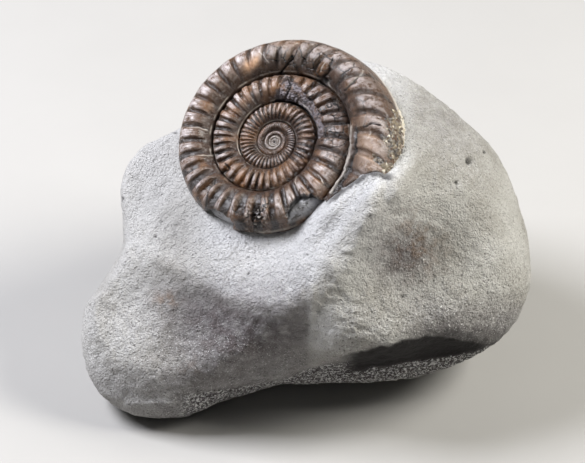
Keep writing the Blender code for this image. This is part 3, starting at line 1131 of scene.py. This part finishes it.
    def windows(self, x: Array, u: Array, jag: Array, turn: Array, share: Array) -> Array:
        """Where the outer whorl's shell has gone and the mud shows: ovals with ragged, sharp edges.

        Args:
            x, u: the place on the show face in mm.
            jag: noise that makes the edges ragged.
            turn, share: the place on the coil.

        Returns:
            From 0 to 1.
        """
        large = ease(self.large_window.on(x, u) + 0.22 * jag, 0.34, 0.41) * (share < 1.25)
        small = ease(self.small_window.on(x, u) + 0.22 * jag, 0.34, 0.44)
        return np.clip(large + small, 0.0, 1.0) * (turn > self.outer_turns[0])

    def stripped(self, turn: Array, share: Array, jag: Array) -> Array:
        """Where the second whorl has lost its shell next to its inner seam: a band that varies in width."""
        reach = smooth_through(self.stripped_reach, turn)
        return ease(reach + 0.22 * jag - share, -0.02, 0.06) * (turn > 2.7) * (turn < 3.1)


# ---- The nodule ----


@dataclass(frozen=True)
class Nodule:
    """The limestone: a ball pulled out to its outline, with the slopes, lip, shelf and undercut."""

    face: ShowFace
    coil: Coil
    # Degrees round the middle of the show face, from x towards u, and mm from it.
    outline: Knots = (
        (0, 49.5), (12, 48.2), (27, 47.2), (42, 44.9), (57, 44.4), (72, 43.8), (84, 42.0), (100, 38.5),
        (122, 37.2), (139, 39.6), (150, 43.2), (160, 43.6), (171, 41.2), (179, 40.8), (187, 44.2),
        (195, 50.8), (204, 54.2), (215, 55.6), (223, 53.2), (232, 47.0), (241, 38.6), (255, 31.6),
        (275, 29.8), (292, 31.8), (310, 37.0), (325, 42.6), (338, 48.2), (350, 50.2),
    )
    front_depth: float = 33.0
    back_depth: float = 36.0
    front_rings: int = 148
    back_rings: int = 44
    meridians: int = 500
    bed_depth: float = 1.2  # of the slope that the shell lies on, under the shell's mid-plane
    right_face: tuple[float, ...] = (25.7, 20.7, 15.4, -0.30, 0.08)  # height at x, u, and its rise with each
    soft_edge: float = 1.6  # how widely the dome rounds off the slopes
    under_shell: float = 2.0  # how much deeper the stone goes where the shell hides it
    shelf_edge: Knots = (
        (-60, 2), (-44, 1), (-31, -3), (-20, -9.5), (-9.5, -12.8), (-1, -12.4), (4, -9), (9, -4), (60, 0),
    )
    shelf_drop: float = 5.0
    shelf_slope: float = 0.3
    shelf_softness: tuple[float, float] = (0.8, 2.0)  # of the drop's edge and of the slope's, in mm
    shelf_end: float = 3.0
    shelf_fade: float = 1.6
    lip_crest: Knots = (
        (-20, -9), (-8, -6), (-1.3, -2.6), (4.2, 3.2), (11.2, 9), (14.5, 12.6), (19, 15.6), (27, 17.5),
        (60, 20),
    )
    lip_heights: Knots = (
        (-20, 0), (-8, 0.6), (-1, 1.8), (4, 3.4), (9, 6.4), (14.5, 9), (19, 6.6), (24, 3), (30, 0.6), (36, 0),
    )
    lip_slope: float = math.radians(40.0)  # of the crest, up to the right
    lip_widths: tuple[float, float] = (6.0, 8.5)  # above the crest and below it
    undercut_top: Knots = (
        (-60, -33), (-10, -29), (0, -25), (9, -22.2), (21.6, -19.4), (30.6, -16.9), (39, -19.5), (60, -26),
    )
    undercut_band: Knots = ((-60, 2), (0, 2.2), (9, 3.4), (21.6, 5.2), (30.6, 6), (39, 3), (60, 3))
    undercut_depths: Knots = (
        (-60, 0), (-16, 0), (0, 2.5), (9, 6), (21.6, 8), (32, 7), (40, 2), (46, 0), (60, 0),
    )
    # In mm: the swollen left end, the dip in the right face and the dome below the lip. Then the hollow.
    swellings: tuple[Spot, ...] = (
        Spot(-36.0, -16.0, 9.0, 13.0, 0.0, 3.0), Spot(26.0, -1.0, 10.0, 7.0, 20.0, -1.6),
        Spot(13.0, -14.0, 8.0, 8.0, 0.0, 1.0),
    )
    hollow: Spot = Spot(-5.0, -16.5, 7.0, 8.0, 0.0, 1.8)
    # The right edge of what the pen has pecked, as x along u.
    pecked_edge: Knots = (
        (-12, -4), (-8.8, -1.3), (-6.6, 2.0), (-2.2, 4.2), (3.3, 7.5), (9, 11), (15.4, 17.5), (20, 23),
    )
    # Small pits in the stone: x, u, radius.
    pits: tuple[tuple[float, float, float], ...] = (
        (35.6, 19.6, 0.75), (32.6, 14.7, 0.45), (39.0, 21.5, 0.35), (-40.6, 11.3, 0.4), (-47.9, -3.5, 0.5),
        (13.5, 7.4, 0.3), (-12.5, -5.0, 0.3), (21.0, -10.0, 0.4), (-29.0, 26.0, 0.35), (-33.0, 3.0, 0.35),
    )
    # The coarse underside starts under the foot line. The recess's painted shade lies between its brow and
    # its foot.
    foot_line: Knots = ((-34, -31.6), (-16, -30.2), (-5.7, -28.4), (5, -24.6), (20, -22.6), (40, -20.6))
    recess_brow: Knots = ((3, -24.4), (10.8, -22.2), (20.7, -19.8), (27.3, -18.6), (31.7, -19), (39.4, -20.6))
    recess_foot: Knots = ((3, -27.5), (8.6, -26.6), (17.4, -24.7), (25, -23.6), (31.7, -22.5), (38.3, -21))
    # Painted shade trailing off to the left of the recess.
    recess_tail: Spot = Spot(7.0, -25.2, 4.5, 1.6, 22.0, 0.55)
    smoother: Spot = Spot(10.0, -9.0, 8.0, 8.0, 0.0, 0.35)
    # Painted shade: patches below the lip, at the left end, over the upper right and above the shelf.
    damp: tuple[Spot, ...] = (
        Spot(21.5, -1.0, 7.0, 7.0, 35.0), Spot(-23.0, -13.5, 11.0, 7.5, 0.0, 0.75),
        Spot(29.0, 29.0, 13.0, 8.0, -45.0, 0.45), Spot(-8.0, -6.0, 9.0, 4.0, -12.0, 0.12),
    )
    painted_shade_in_hollow: tuple[Spot, ...] = (
        Spot(-5.0, -16.5, 14.0, 9.0, 8.0, 0.66), Spot(-17.0, -23.0, 13.0, 6.5, 12.0, 0.5),
    )
    rust: tuple[Spot, ...] = (
        Spot(24.0, 2.0, 6.0, 7.0, 30.0, 0.6), Spot(-30.6, -11.0, 2.6, 2.0, 0.0, 0.8),
        Spot(-19.0, -18.0, 11.0, 9.0, 0.0, 0.12), Spot(-26.0, -25.5, 3.0, 2.2, 0.0, 0.3),
    )
    # Painted green tint of light over the centre face, growing towards the right.
    moss: Spot = Spot(11.0, -9.0, 8.0, 11.0, 0.0, 0.3)

    def lip(self, x: Array, u: Array) -> Array:
        """The ridge that laps over the shell's mouth: its height along x times exp(-(off / width)^2)."""
        off = (u - smooth_through(self.lip_crest, x)) * math.cos(self.lip_slope)
        return smooth_through(self.lip_heights, x) * peak(off, np.where(off > 0.0, *self.lip_widths))

    def shelf(self, x: Array, u: Array) -> Array:
        """How far the stone drops below the shelf's edge: its drop at once, then its slope further on.

        Both start softly, as log(1 + e^past) does, and the shelf ends where the right face begins.

        Args:
            x, u: places on the show face in mm.

        Returns:
            The drop in mm.
        """
        past = smooth_through(self.shelf_edge, x) - u
        sharp, soft = (size * np.logaddexp(0.0, past / size) for size in self.shelf_softness)
        drop = self.shelf_drop * (1.0 - np.exp(-sharp / self.shelf_drop)) + self.shelf_slope * soft
        return drop / (1.0 + np.exp((x - self.shelf_end) / self.shelf_fade))

    def undercut(self, x: Array, u: Array) -> Array:
        """How far the stone steps back under the right face."""
        down = (smooth_through(self.undercut_top, x) - u) / smooth_through(self.undercut_band, x)
        return smooth_through(self.undercut_depths, x) * ease(down, 0.0, 1.0)

    def from_shell(self, x: Array, u: Array) -> Array:
        """Distance on the show face from the shell's middle."""
        return np.hypot(x - self.coil.middle[0], u - self.coil.middle[1])

    def past_lap(self, x: Array, u: Array) -> Array:
        """How far below the line where the stone laps over the shell."""
        return smooth_through(self.coil.lap, x) - u

    def front(self, x: Array, u: Array, share: Array) -> Array:
        """Height of the front: the softened least of the bed, the right slope and the dome, with its relief.

        Args:
            x, u: places on the show face in mm.
            share: how far out they are, over the outline.

        Returns:
            v in mm.
        """
        dome = self.front_depth * np.maximum(1.0 - share**2.3, 0.0) ** 0.55
        base, x0, u0, rise_x, rise_u = self.right_face
        right = base + rise_x * (x - x0) + rise_u * (u - u0)
        height = -np.logaddexp(self.bed_depth - self.coil.plane(x, u), -right)
        height = -self.soft_edge * np.logaddexp(-height / self.soft_edge, -dome / self.soft_edge)
        relief = self.lip(x, u) - self.shelf(x, u) + spots_on(x, u, self.swellings)
        # The hollow ends at an arris on its right, and low waves run over all of the front.
        relief -= self.hollow.on(x, u) * (1.0 - ease(x, -0.4, 1.8))
        relief += 0.45 * (np.sin(0.31 * x + 0.9) * np.cos(0.27 * u) + np.sin(0.17 * x - 0.23 * u))
        height += (1.0 - share**6) * relief - (1.0 - share**12) * self.undercut(x, u)
        height -= self.under_shell * ease(self.from_shell(x, u), 17.0, 14.0)
        return height + self.collar(x, u, height)

    def collar(self, x: Array, u: Array, height: Array) -> Array:
        """How far the stone rises further to lap over the shell: from 1.5 mm under the flank to 0.6 over it.

        Args:
            x, u: places on the show face in mm.
            height: the stone's height there so far.

        Returns:
            The rise in mm.
        """
        past = self.past_lap(x, u)
        over = self.coil.flank_on_face(x, u) - 1.5 + 2.1 * ease(past, -0.8, 1.0)
        sideways = ease(x, -3.5, 6.5) * ease(x, 24.5, 17.0)
        return sideways * ease(past, -1.8, -0.4) * ease(past, 9.0, 2.5) * np.maximum(over - height, 0.0)

    def grid(self) -> tuple[Array, Array, Array]:
        """The rings from near the middle of the face, over the outline, to near the middle of the back.

        Returns:
            Points in mm on the show face's axes, shape (rings, meridians, 3), and x and u of each.
        """
        polar = np.concatenate([
            np.linspace(0.0, np.pi / 2, self.front_rings + 1)[1:],
            np.linspace(np.pi / 2, np.pi, self.back_rings + 2)[1:-1],
        ])
        around = np.linspace(0.0, 360.0, self.meridians, endpoint=False)
        polar, around = np.meshgrid(polar, around, indexing="ij")
        share = np.sin(polar)
        radius = smooth_through(self.outline, around, 360.0) * share
        x, u = radius * np.cos(np.radians(around)), radius * np.sin(np.radians(around))
        back = -self.back_depth * np.maximum(1.0 - share**2.4, 0.0) ** 0.5
        v = np.where(polar <= np.pi / 2 + 1e-9, self.front(x, u, share), back)
        return np.stack([x, u, v], axis=-1), x, u

    def worked(self, x: Array, u: Array, v: Array) -> Array:
        """Where a pen has pecked the stone: round the shell, down to the shelf's edge and the lip's crest.

        Args:
            x, u, v: places in mm on the show face's axes.

        Returns:
            From 0 to 1.
        """
        above = ease(u - smooth_through(self.shelf_edge, x), -0.5, 2.6)
        left_of = ease(smooth_through(self.pecked_edge, u) - x, -1.2, 1.4)
        return above * left_of * (1.0 - 0.75 * ease(-x, 17.0, 27.0)) * ease(v, -4.0, 2.0)

    def roughness(self, points: Array, x: Array, u: Array, pecked: Array) -> Array:
        """The skin's lumps, and the pen's dints where the stone is pecked.

        Args:
            points: the places in mm, for noise.
            x, u: the same on the show face.
            pecked: how far they are pecked.

        Returns:
            How far each place stands out, in mm.
        """
        rough = 0.34 * noise(points, 9.0, 71, 3)
        rough += (1.0 - 0.55 * pecked) * (0.30 * noise(points, 2.8, 72, 2) + 0.20 * noise(points, 1.3, 75))
        dints = 0.16 * (cells(points, 1.7, 73)[0] - 0.55) + 0.10 * noise(points, 1.1, 74, 2)
        off_edge = ease(np.abs(self.past_lap(x, u)), 0.3, 2.5) + (x < 1.0)
        return rough + pecked * dints * np.clip(off_edge, 0.0, 1.0)

    def holes(self, x: Array, u: Array) -> tuple[Array, Array]:
        """The pits: exp(-(distance / radius)^4) each.

        Args:
            x, u: places on the show face in mm.

        Returns:
            How deep they are in mm, and how much painted shade lies in them.
        """
        each = [(size, np.exp(-((np.hypot(x - px, u - pu) / size) ** 4))) for px, pu, size in self.pits]
        return sum(size * hole for size, hole in each), np.max([hole for _, hole in each], axis=0)

    def recess(self, points: Array, x: Array, u: Array) -> Array:
        """Painted shade: in the recess, softly above its brow, trailing off to its left, and along the lip's
        broken edge.

        Args:
            points: the places in mm, for noise.
            x, u: the same on the show face.

        Returns:
            How dark, from 0 to 1.
        """
        ragged = 0.5 * noise(points, 1.6, 76, 2)
        over = u - smooth_through(self.recess_brow, x)
        foot = u - smooth_through(self.recess_foot, x)
        dark = ease(0.7 * ragged - over, -0.5, 0.3) * ease(foot + 0.7 * ragged, -1.6, -0.4)
        dark *= ease(x + 1.4 * ragged, 4.0, 12.0) * ease(x, 41.0, 38.5)
        dusk = 0.5 * ease(x, 14.0, 30.0) * ease(over, 3.6, 0.0) * ease(over, -1.0, 0.0)
        broken = ease(1.0 + 1.6 * ragged - np.abs(self.past_lap(x, u) - 0.8), 0.0, 0.6)
        broken *= ease(x, 3.5, 6.0) * ease(x, 19.5, 17.5)
        return np.maximum(np.maximum(dark, dusk + self.recess_tail.on(x, u)), 0.8 * broken)

    def stains_and_painted_light(self, points: Array, x: Array, u: Array, below: Array) -> dict[str, Array]:
        """Where the stone is rusty, where painted shade darkens it and where a painted green tint of light
        lies on it. The painted shade in the hollow ends at the arris to its right.

        Args:
            points: the places in mm, for noise.
            x, u: the same on the show face.
            below: how far they are on the coarse underside.

        Returns:
            Each layer's name and how strong it is.
        """
        # Painted shade: its patches, the hollow up to the arris, the underside and the lower right face,
        # darker towards the bottom.
        left_of = 1.0 - ease(x + 0.4 * noise(points, 2.0, 77), -0.2, 1.3)
        damp = spots_on(x, u, self.damp) + left_of * spots_on(x, u, self.painted_shade_in_hollow) + 1.1 * below
        damp += 0.75 * ease(-u, 7.0, 17.0) * ease(x, 18.0, 28.0) + 0.35 * ease(-u, 22.0, 30.0)
        return {
            "damp": np.clip(damp, 0.0, 1.0),
            "rust": np.clip(spots_on(x, u, self.rust), 0.0, 0.8),
            "moss": self.moss.on(x, u) + 0.35 * ease(x, 12.0, 26.0),
        }

    def build(self) -> bpy.types.Object:
        """The nodule as a piece: the smooth form, pushed out along its normals by its roughness and grit.

        Returns:
            The object, without a material.
        """
        points, x, u = self.grid()
        normals = grid_normals(points)
        front = ease(points[..., 2], -2.0, 3.0)
        pecked = self.worked(x, u, points[..., 2])
        deep, pitted = self.holes(x, u)
        rough = self.roughness(points, x, u, pecked) - deep * front
        rough *= 0.35 + 0.65 * ease(self.from_shell(x, u), 18.0, 26.0)
        points = points + normals * rough[..., None]

        # The underside is coarse and the right face gritty, save where the recess's painted shade covers it.
        across = 0.7 * ease(x + 2.5 * noise(points, 4.0, 80), -34.0, -20.0) + 0.3 * ease(x, -8.0, 6.0)
        below = ease(smooth_through(self.foot_line, x) - u, -0.5, 1.5) * across
        dark = self.recess(points, x, u) * front
        coarse = 0.18 + 0.4 * front * ease(-u - 0.25 * x, 17.0, 26.0) + 1.2 * below
        coarse += front * ease(x, 2.0, 9.0) * (0.15 + 0.45 * ease(-u, -2.0, 14.0))
        coarse = np.clip(coarse * (1.0 - self.smoother.on(x, u)) * (1.0 - dark), 0.0, 1.0)
        grit = 0.24 * noise(points, 0.95, 78, 2) + 0.12 * noise(points, 0.6, 79)
        grit = 1.2 * front * grit * np.clip(coarse - 0.15, 0.0, 1.0)

        values = {key: amount * front for key, amount in self.stains_and_painted_light(points, x, u, below).items()}
        # Painted shade also on the coarse underside and in the pits.
        dark = np.maximum.reduce([dark, 0.55 * below * front, 0.9 * pitted * front])
        values |= {"pecked": pecked, "coarse": coarse, "hollow": dark}
        middle = self.front(*np.zeros((3, 1)))[0]
        ends = np.array([[0.0, 0.0, middle], [0.0, 0.0, -self.back_depth]])
        points = points + normals * grit[..., None]
        return ring_body("limestone", points, values, self.face.place(), ends)


# ---- The spar ----


@dataclass(frozen=True)
class Spar:
    """The honey-coloured crystals on the outer edge of the last whorl, where its shell has gone."""

    coil: Coil
    face: ShowFace
    turns: tuple[float, float] = (3.90, 4.075)
    points: tuple[int, int, int] = (300, 110, 40)  # rows, over the flank, over the venter
    inner_edge: Knots = ((12, 12.2), (17, 12.9), (20, 13.8), (25, 15.1), (28, 15.9), (31, 16.0), (34, 19))
    thickness: float = 0.22
    buried: float = 1.3  # how deep the scab's edge goes under the shell
    crystal: float = 0.62

    def build(self) -> bpy.types.Object:
        """A closed scab of crystals: it follows the last whorl to its mouth, over the shoulder.

        Its height over the whorl is the thickness times an eased mask, less the distance to the nearest
        crystal's middle, and each crystal is tilted by its own number. Those on the rim are pale, and a tenth
        of the others carry a painted glint.

        Returns:
            The object, without a material.
        """
        whorl = Whorl("spar_bed", *self.turns, *self.points, self.coil, self.face)
        turn, across, side = whorl.section()
        points, share = whorl.tube(turn, across, side)
        x, u = self.coil.on_face(points)
        jag = noise(points, 1.3, 81, 3)
        mask = ease(x + 1.3 * jag - smooth_through(self.inner_edge, u), -0.3, 0.9)
        mask *= ease(32.0 + 2.5 * jag - u, 0.0, 3.0)
        gap, own = cells(points, self.crystal, 82)
        tilt = (own - 0.5) * noise(points, 0.8, 83)
        height = mask * (self.thickness + self.buried - 0.26 * gap + 0.6 * tilt + 0.22 * jag) - self.buried
        height = np.where(side == Side.UNDER, -0.3, height)
        clear = np.maximum(own, 0.97 * ease(share + 0.05 * jag, 1.30, 1.40))
        points = points + grid_normals(points) * height[..., None]
        return ring_body("calcite_spar", points, {"crystal": clear}, self.coil.place(self.face))


# ---- The room ----


@dataclass(frozen=True)
class Softbox:
    """A square light: where it stands on the show face's axes, its distance and side in metres, its power."""

    name: str
    direction: tuple[float, float, float]
    away: float
    size: float
    watts: float
    tint: str

    def place(self, axes: Matrix) -> None:
        """Adds the light, facing the shell.

        Args:
            axes: the show face's axes and middle, in metres.
        """
        light = bpy.data.lights.new(self.name, "AREA")
        light.energy, light.size = self.watts, self.size
        light.color = linear(self.tint)[:3]
        holder = bpy.data.objects.new(self.name, light)
        bpy.context.scene.collection.objects.link(holder)
        back = (axes.to_3x3() @ Vector(self.direction)).normalized()
        holder.rotation_mode = "QUATERNION"
        holder.rotation_quaternion = back.to_track_quat("Z", "Y")
        holder.location = axes @ Vector((0.0, 8.0 * MM, 10.0 * MM)) + back * self.away


@dataclass(frozen=True)
class Studio:
    """The floor, the soft lights and the camera."""

    face: ShowFace
    lens: float = 250.0
    mm_across: float = 128.7  # of the show face, from side to side of the picture
    aim: tuple[float, float, float] = (-2.97, 4.07, 8.0)
    lights: tuple[Softbox, ...] = (
        Softbox("key_upper_left", (-0.66, 0.68, 0.42), 0.55, 0.24, 6.4, "#f4f6ff"),
        Softbox("fill_right", (0.80, 0.54, 0.50), 0.60, 0.25, 5.8, "#fdfbf6"),
    )
    air: str = "#dfe3ea"
    air_strength: float = 0.08

    def camera(self) -> None:
        """A long lens straight on to the show face, level with it."""
        camera = bpy.data.cameras.new("camera")
        camera.lens = self.lens
        camera.sensor_width = 36.0
        distance = self.mm_across * self.lens / camera.sensor_width
        camera.clip_start, camera.clip_end = 0.05, 20.0
        holder = bpy.data.objects.new("camera", camera)
        bpy.context.scene.collection.objects.link(holder)
        stand = Vector((self.aim[0], self.aim[1], self.aim[2] + distance)) * MM
        holder.matrix_world = self.face.axes() @ Matrix.Translation(stand)
        bpy.context.scene.camera = holder

    def room(self) -> None:
        """The floor, the faint light from all round, the soft lights and the view."""
        bpy.ops.mesh.primitive_plane_add(size=6.0, location=(0.0, 0.0, -0.0002))
        floor = bpy.context.object
        floor.name = "floor"
        floor.data.materials.append(PaperFinish().make())
        world = bpy.data.worlds.new("room")
        world.use_nodes = True
        air = world.node_tree.nodes["Background"]
        air.inputs[0].default_value = linear(self.air)
        air.inputs[1].default_value = self.air_strength
        bpy.context.scene.world = world
        bpy.context.scene.view_settings.view_transform = "Standard"
        for light in self.lights:
            light.place(self.face.axes())


def dress(piece: bpy.types.Object, material: bpy.types.Material, slot: str, *nodes: str) -> None:
    """Gives a piece its material, and ties it to the frame.

    Args:
        piece: the piece.
        material: its material.
        slot: the record's material slot; not used.
        nodes: the CAD nodes that it replaces.
    """
    piece.data.materials.append(material)
    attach(piece, "root")
    if nodes:
        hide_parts(*nodes)
    log.info("%s: %d faces", piece.name, len(piece.data.polygons))


def main() -> None:
    """Loads the frame, builds the stone, the shell, the spar and the room."""
    logging.basicConfig(level=logging.INFO, format="%(name)s: %(message)s")
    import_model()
    face = ShowFace()
    coil = Coil()
    dress(Nodule(face, coil).build(), LimestoneFinish().make(), "limestone", "limestone_nodule")
    shell = ShellFinish().make()
    damage = Damage()
    whorls = [
        Whorl("inner_whorls", -4.2, 1.0, 1300, 40, 4, coil, face),
        Whorl("third_whorl", 1.0, 2.05, 560, 60, 5, coil, face),
        Whorl("second_whorl", 2.05, 3.05, 860, 84, 6, coil, face),
        Whorl("outer_whorl", 3.05, 4.135, 1100, 70, 12, coil, face),
    ]
    for whorl in whorls:
        nodes = ("ammonite",) if whorl.name == "outer_whorl" else ()
        dress(whorl.build(damage), shell, "shell_calcite", *nodes)
    dress(Spar(coil, face).build(), SparFinish().make(), "shell_calcite")
    studio = Studio(face)
    studio.room()
    studio.camera()


if __name__ == "__main__":
    main()
